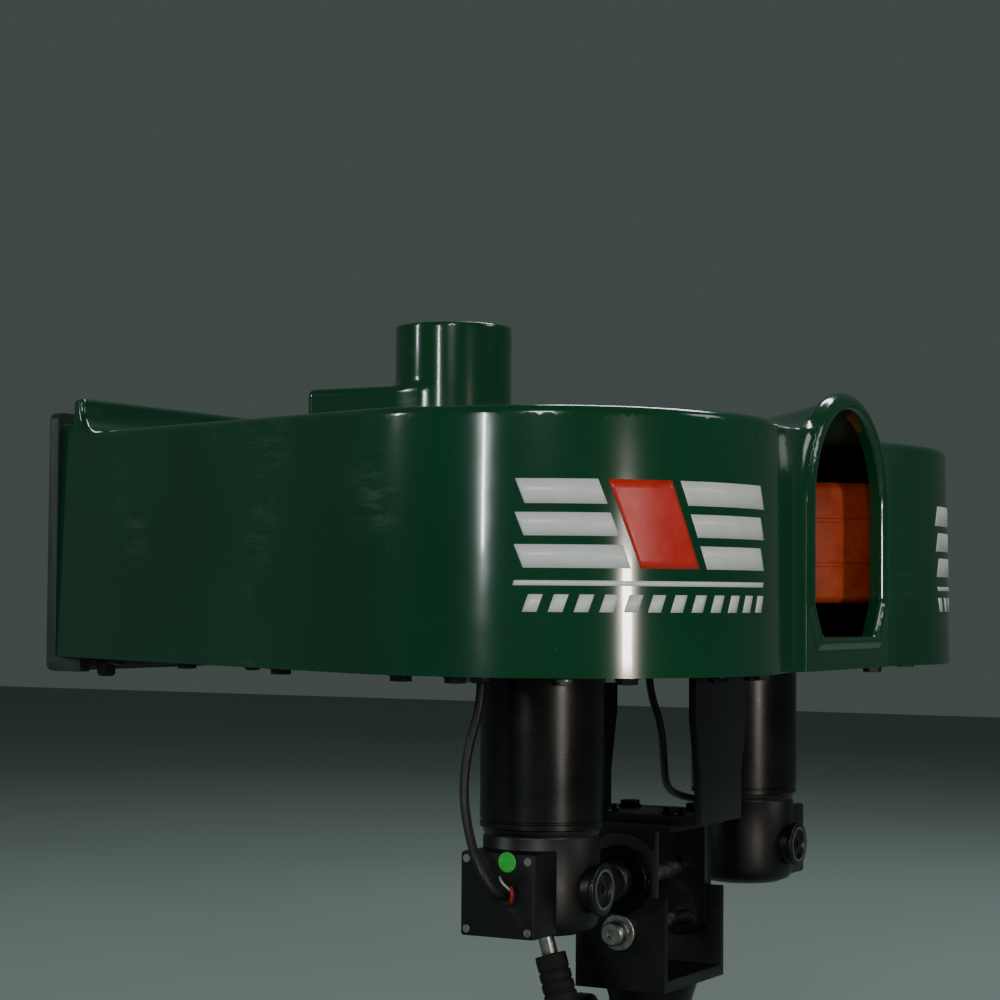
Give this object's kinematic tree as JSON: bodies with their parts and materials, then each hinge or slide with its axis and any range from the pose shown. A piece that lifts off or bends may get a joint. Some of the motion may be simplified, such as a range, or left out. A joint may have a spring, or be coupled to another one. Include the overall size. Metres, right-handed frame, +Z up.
{
  "type": "ball pitching machine head",
  "caption": "Two-wheel ball throwing machine head: glossy moulded hood with feed tube and exit nozzle, wheels on upright motors, tilting and turning yoke with post socket.",
  "frame": {"origin": "centre of the post socket's lower mouth, on the turning axis", "axes": "+Z up along the post, -Y the way the ball leaves, +X the machine's left side"},
  "size_m": [0.739, 0.7306, 0.6707],
  "materials": {
    "green_gel": "gloss dark green gel coat on glass-fibre moulding",
    "black_powder": "satin black powder coat",
    "zinc_steel": "zinc plated",
    "bright_steel": "ground steel",
    "bronze": "turned bronze",
    "black_plastic": "moulded black plastic",
    "rubber_black": "matt black rubber",
    "cable_sheath": "black cable sheath",
    "orange_tyre": "cast polyurethane, vermilion orange",
    "cast_aluminium": "as cast",
    "base_alloy": "rolled plate",
    "grey_moulding": "pale grey-green moulding",
    "chute_plastic": "black tube"
  },
  "bodies": {
    "socket": {"post_socket": "black_powder", "post_clamp_bolts": "zinc_steel", "pan_spindle": "bright_steel", "thrust_washer": "zinc_steel"},
    "yoke": {"yoke": "black_powder", "pan_bush": "bronze", "pivot_bolt": "zinc_steel", "tilt_disc": "zinc_steel", "lock_bolt": "zinc_steel"},
    "pan_lock": {"pan_lock_knob": "black_plastic"},
    "tilt_lock": {"tilt_knob": "black_plastic"},
    "head": {"tilt_head": "black_powder", "saddle_bracket": "black_powder", "saddle_bolts": "zinc_steel", "hood_shell": "green_gel", "feed_tower": "green_gel", "ball_chute": "chute_plastic", "chute_bracket": "black_powder", "base_plate": "base_alloy", "base_bolts": "zinc_steel", "hood_glands": "black_plastic", "rear_panel": "grey_moulding", "control_plate": "base_alloy", "power_inlet": "black_plastic", "switch_housing": "black_plastic", "speed_pots": "cast_aluminium", "rear_rail": "black_powder", "rubber_feet": "rubber_black", "speed_controller": "cast_aluminium", "handle_rod": "bright_steel", "handle_grip": "rubber_black", "handle_clamp": "black_plastic", "right_motor_flange": "cast_aluminium", "right_motor_can": "black_powder", "right_end_bell": "black_powder", "right_brush_caps": "black_plastic", "right_terminal_box": "black_powder", "right_terminal_lid": "black_powder", "right_grommet": "rubber_black", "right_motor_cable": "cable_sheath", "left_motor_flange": "cast_aluminium", "left_motor_can": "black_powder", "left_end_bell": "black_powder", "left_brush_caps": "black_plastic", "left_terminal_box": "black_powder", "left_terminal_lid": "black_powder", "left_grommet": "rubber_black", "left_motor_cable": "cable_sheath"},
    "right_wheel": {"right_wheel_hub": "cast_aluminium", "right_tyre": "orange_tyre", "right_wheel_nut": "zinc_steel", "right_motor_shaft": "bright_steel"},
    "left_wheel": {"left_wheel_hub": "cast_aluminium", "left_tyre": "orange_tyre", "left_wheel_nut": "zinc_steel", "left_motor_shaft": "bright_steel"},
    "right_dial": {"right_speed_knob": "black_plastic"},
    "left_dial": {"left_speed_knob": "black_plastic"},
    "rocker": {"power_rocker": "black_plastic"}
  },
  "joints": [
    {"name": "pan", "type": "hinge", "parent": "socket", "child": "yoke", "pos_m": [0, 0, 0.06], "axis": [0, 0, 1], "continuous": true},
    {"name": "tilt", "type": "hinge", "parent": "yoke", "child": "head", "pos_m": [0, 0, 0.212], "axis": [1, 0, 0], "range_deg": [-18, 18]},
    {"name": "pan_lock_turn", "type": "hinge", "parent": "yoke", "child": "pan_lock", "pos_m": [0, 0.08, 0.088], "axis": [0, 1, 0], "range_deg": [-180, 180]},
    {"name": "tilt_lock_turn", "type": "hinge", "parent": "yoke", "child": "tilt_lock", "pos_m": [-0.07, 0, 0.212], "axis": [-1, 0, 0], "range_deg": [-180, 180]},
    {"name": "right_wheel_spin", "type": "hinge", "parent": "head", "child": "right_wheel", "pos_m": [-0.1925, 0, 0.4], "axis": [0, 0, 1], "continuous": true},
    {"name": "left_wheel_spin", "type": "hinge", "parent": "head", "child": "left_wheel", "pos_m": [0.1925, 0, 0.4], "axis": [0, 0, 1], "continuous": true},
    {"name": "right_speed_turn", "type": "hinge", "parent": "head", "child": "right_dial", "pos_m": [-0.048, 0.53, 0.494], "axis": [0, -1, 0], "range_deg": [0, 300]},
    {"name": "left_speed_turn", "type": "hinge", "parent": "head", "child": "left_dial", "pos_m": [0.048, 0.53, 0.494], "axis": [0, -1, 0], "range_deg": [0, 300]},
    {"name": "power_rock", "type": "hinge", "parent": "head", "child": "rocker", "pos_m": [0, 0.529, 0.454], "axis": [1, 0, 0], "range_deg": [-14, 0]}
  ]
}
